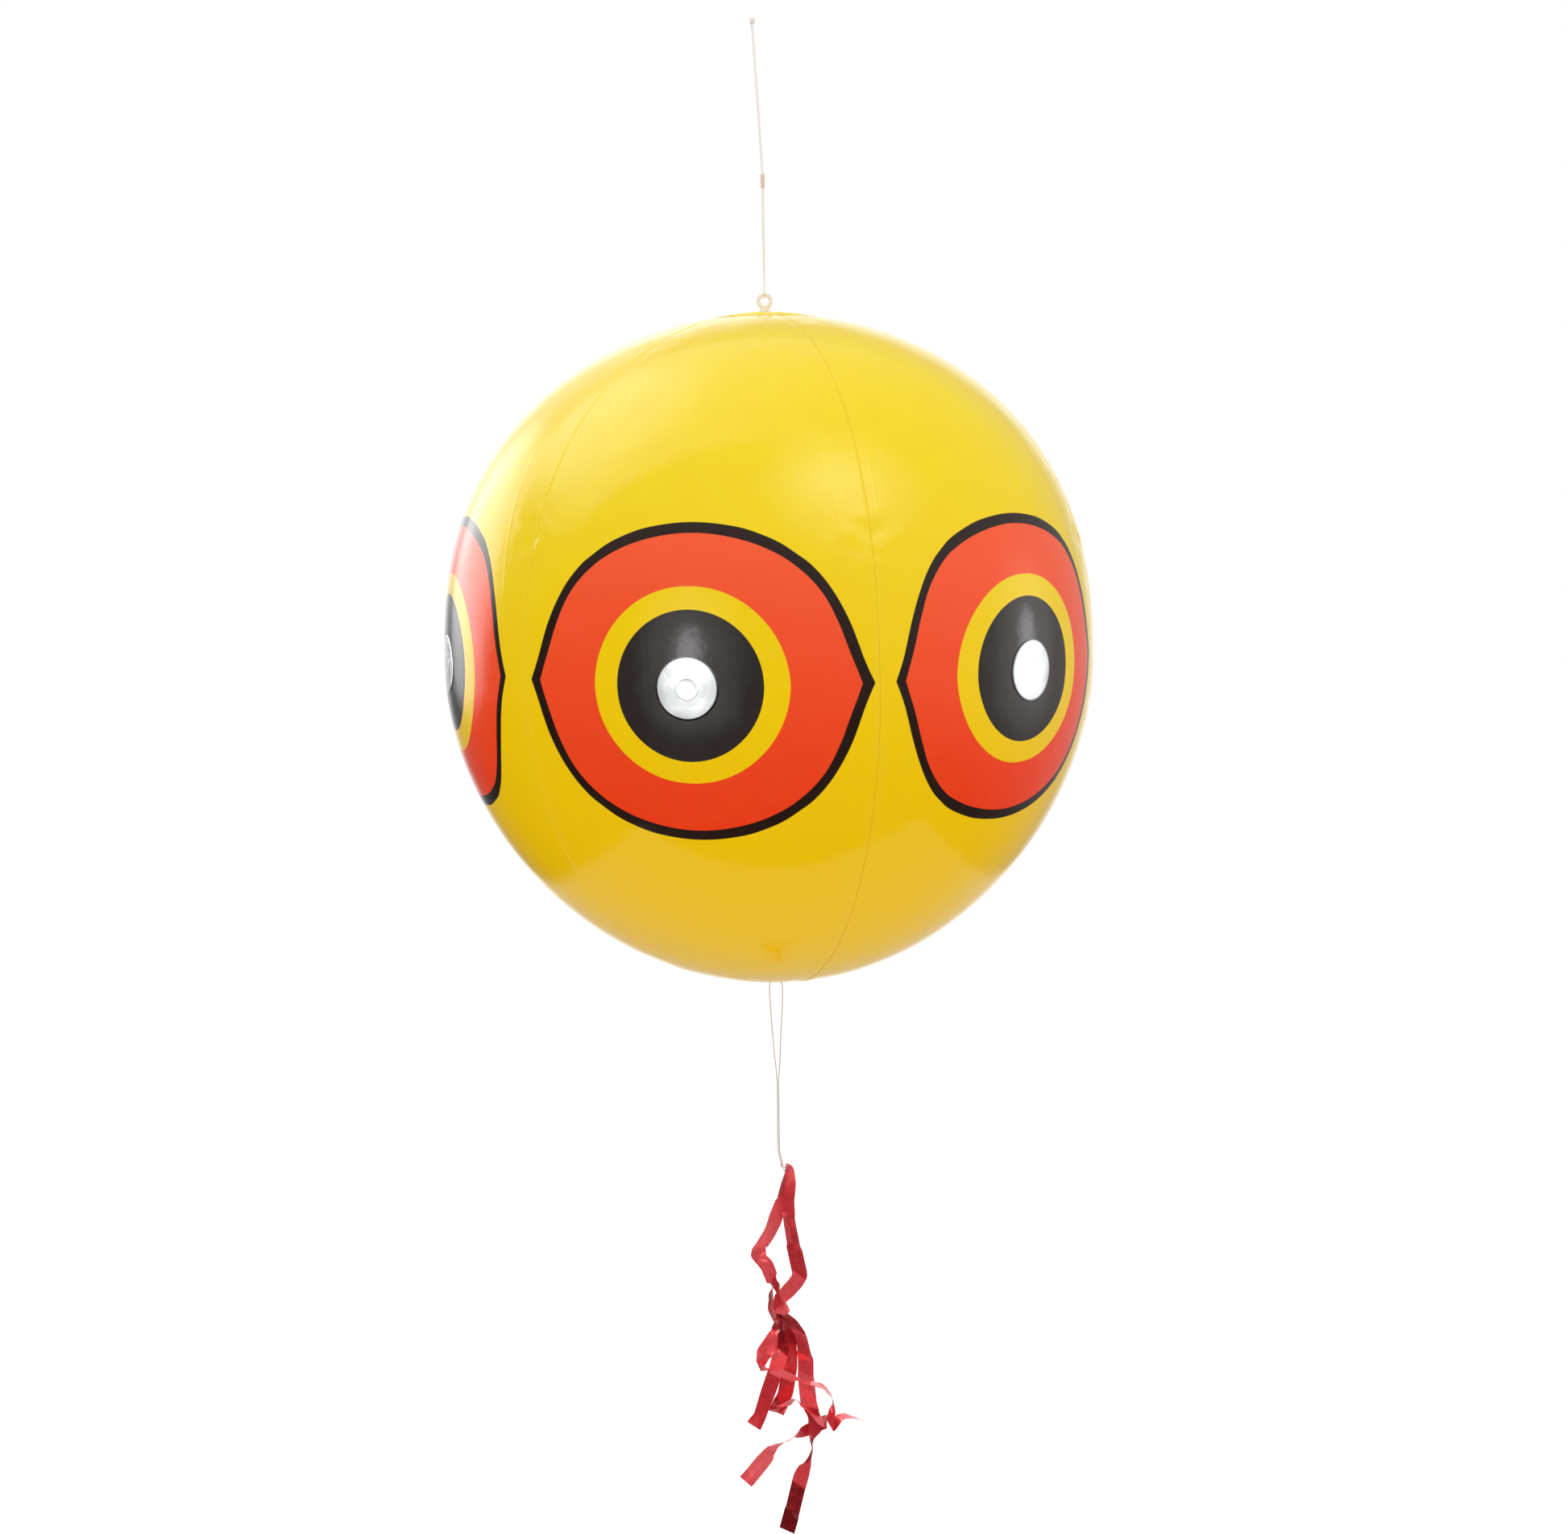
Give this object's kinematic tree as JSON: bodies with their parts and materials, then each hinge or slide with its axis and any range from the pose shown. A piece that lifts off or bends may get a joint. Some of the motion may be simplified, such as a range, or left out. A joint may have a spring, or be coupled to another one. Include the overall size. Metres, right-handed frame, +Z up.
{
  "type": "bird scare balloon",
  "caption": "Inflatable ball of film gores printed with large eyes, hung by a cord through a top eyelet tab, with a valve and a metallised ribbon streamer on a tail string.",
  "frame": {"origin": "top end of the hanging cord, where it is tied up", "axes": "+Z up along the hanging cord; -Y towards the side that the front eye faces"},
  "size_m": [0.396, 0.3972, 0.9663],
  "materials": {
    "vinyl_film": "thin glossy vinyl film, printed on its outer face",
    "disc_film": "thin glossy vinyl film",
    "tab_vinyl": "soft moulded vinyl, milky",
    "silver_film": "self-adhesive metallised film",
    "white_cord": "twisted synthetic cord",
    "thin_string": "thin twisted string",
    "red_foil": "mirror-bright metallised film"
  },
  "bodies": {
    "hanging_line": {"hanging_cord": "white_cord", "end_knot": "white_cord", "join_knot": "thin_string"},
    "loop": {"eyelet_loop": "thin_string"},
    "balloon": {"gore_1": "vinyl_film", "gore_2": "vinyl_film", "gore_3": "vinyl_film", "gore_4": "vinyl_film", "gore_5": "vinyl_film", "gore_6": "vinyl_film", "pupil_foil_1": "silver_film", "pupil_foil_2": "silver_film", "pupil_foil_3": "silver_film", "pupil_foil_4": "silver_film", "pupil_foil_5": "silver_film", "pupil_foil_6": "silver_film", "top_disc": "disc_film", "bottom_disc": "disc_film", "top_hang_tab": "tab_vinyl", "bottom_hang_tab": "tab_vinyl", "valve_flange": "tab_vinyl"},
    "stem": {"valve_stem": "tab_vinyl", "plug_strap": "tab_vinyl"},
    "plug": {"valve_plug": "tab_vinyl"},
    "flap": {"valve_flap": "tab_vinyl"},
    "tail": {"tail_string": "thin_string", "tail_knot": "thin_string"},
    "streamer": {"streamer_tie": "thin_string", "long_ribbon": "red_foil", "short_ribbon": "red_foil", "streamer_knot": "red_foil"}
  },
  "joints": [
    {"name": "loop_twist", "type": "hinge", "parent": "hanging_line", "child": "loop", "pos_m": [0.0046, 0, -0.0989], "axis": [0, 0, 1], "continuous": true},
    {"name": "balloon_swing", "type": "hinge", "parent": "loop", "child": "balloon", "pos_m": [0.0046, 0, -0.1641], "axis": [0, 1, 0], "range_deg": [-45, 45]},
    {"name": "valve_stem_slide", "type": "slide", "parent": "balloon", "child": "stem", "axis": [0, 0, -1], "range_m": [0, 0.012]},
    {"name": "valve_plug_slide", "type": "slide", "parent": "stem", "child": "plug", "axis": [0, 0, -1], "range_m": [0, 0.008]},
    {"name": "valve_flap_hinge", "type": "hinge", "parent": "stem", "child": "flap", "pos_m": [0.017, 0, -0.56599], "axis": [0, -1, 0], "range_deg": [0, 40]},
    {"name": "tail_swing", "type": "hinge", "parent": "balloon", "child": "tail", "pos_m": [0.0046, 0, -0.58459], "axis": [1, 0, 0], "range_deg": [-60, 60]},
    {"name": "streamer_swing", "type": "hinge", "parent": "tail", "child": "streamer", "pos_m": [0.0065, 0, -0.70889], "axis": [0, 1, 0], "range_deg": [-60, 60]}
  ]
}
